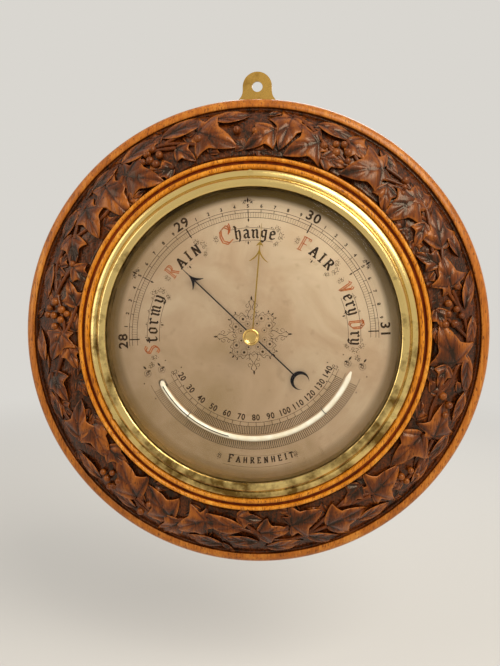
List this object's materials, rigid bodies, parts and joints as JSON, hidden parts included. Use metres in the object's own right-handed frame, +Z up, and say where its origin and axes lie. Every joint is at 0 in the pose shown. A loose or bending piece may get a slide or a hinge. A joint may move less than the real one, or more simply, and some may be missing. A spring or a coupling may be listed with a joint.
{
  "type": "wall aneroid barometer",
  "caption": "Round wall aneroid barometer with carved oak surround, brass bezel, bevelled glass, set hand and a curved thermometer on its silvered dial.",
  "frame": {"origin": "centre of the hanging hole, on the wall plane at the back of the hanging plate", "axes": "+Y into the wall, along the hanging hole; +Z up; the dial faces -Y; millimetres in the source"},
  "size_m": [0.304, 0.0505, 0.3253],
  "materials": {
    "oak": "carved oak, dark reddish brown satin polish, paler beads and rim",
    "brass_plate": "brass, aged and slightly dull",
    "steel_screws": "steel screws, turned and slotted",
    "case_brass": "spun brass sheet, plain",
    "bezel_brass": "lacquered polished brass",
    "glass": "clear bevelled plate glass",
    "sight_ring": "toned brass, dark olive",
    "silvered_brass": "silvered brass, warm beige, matt with engraved and waxed lines",
    "tube_glass": "enamel-backed thermometer glass, cream",
    "mercury": "mercury",
    "wire": "dark annealed wire",
    "movement_brass": "machined brass",
    "capsule": "nickel-silver sheet, corrugated",
    "steel": "bright steel",
    "bridge_iron": "black japanned cast iron",
    "blued_steel": "blued steel, nearly black",
    "knob_brass": "polished brass, turned",
    "set_hand_brass": "thin polished brass"
  },
  "bodies": {
    "housing": {"oak_surround": "oak", "hanger_plate": "brass_plate", "hanger_screws": "steel_screws", "case": "case_brass", "bezel": "bezel_brass", "bezel_screws": "bezel_brass", "glass": "glass", "sight_ring": "sight_ring", "dial": "silvered_brass", "dial_feet": "case_brass", "dial_foot_screws": "steel_screws", "thermometer_tube": "tube_glass", "thermometer_mercury": "mercury", "thermometer_ties": "wire", "base_plate": "movement_brass", "base_plate_screws": "steel_screws", "capsule": "capsule", "bridge": "bridge_iron", "bridge_screws": "steel_screws", "mainspring": "blued_steel", "mainspring_screws": "steel_screws", "rocking_bracket": "movement_brass", "bracket_screws": "steel_screws", "chain": "steel", "hairspring": "blued_steel", "hairspring_stud": "movement_brass", "lower_cock": "movement_brass", "upper_cock": "movement_brass", "cock_pillars": "movement_brass", "cock_screws": "steel_screws"},
    "pointer": {"arbor": "steel", "chain_roller": "movement_brass", "blued_hand": "blued_steel", "hand_collet": "movement_brass"},
    "lever": {"main_lever": "movement_brass", "lever_rivets": "movement_brass", "link_rod": "steel", "capsule_post": "steel", "knife_edge": "steel"},
    "rocker": {"rocking_shaft": "steel"},
    "set_pointer": {"set_knob": "knob_brass", "set_spindle": "knob_brass", "set_washer": "knob_brass", "set_hand": "set_hand_brass"},
    "adjuster": {"adjusting_screw": "steel"}
  },
  "joints": [
    {"name": "pointer_turn", "type": "hinge", "parent": "housing", "child": "pointer", "pos_m": [0, -0.032, -0.1636], "axis": [0, 1, 0], "range_deg": [-52, 139.8], "stiffness_Nm_per_rad": 0.01, "deforming": ["hairspring", "chain"]},
    {"name": "rocker_turn", "type": "hinge", "parent": "housing", "child": "rocker", "pos_m": [0, -0.012, -0.2016], "axis": [1, 0, 0], "range_deg": [-9.4, 25.2]},
    {"name": "lever_lift", "type": "hinge", "parent": "housing", "child": "lever", "pos_m": [0, -0.02075, -0.1176], "axis": [1, 0, 0], "range_deg": [-0.53, 1.42], "deforming": ["mainspring", "capsule"]},
    {"name": "set_turn", "type": "hinge", "parent": "housing", "child": "set_pointer", "pos_m": [0, -0.0352, -0.1636], "axis": [0, 1, 0], "continuous": true},
    {"name": "adjust_turn", "type": "hinge", "parent": "housing", "child": "adjuster", "pos_m": [0.034, -0.003, -0.1256], "axis": [0, 1, 0], "range_deg": [-180, 180]}
  ],
  "couplings": [
    {"joint": "rocker_turn", "follows": "pointer_turn", "ratio": 0.18},
    {"joint": "lever_lift", "follows": "pointer_turn", "ratio": 0.0101}
  ]
}
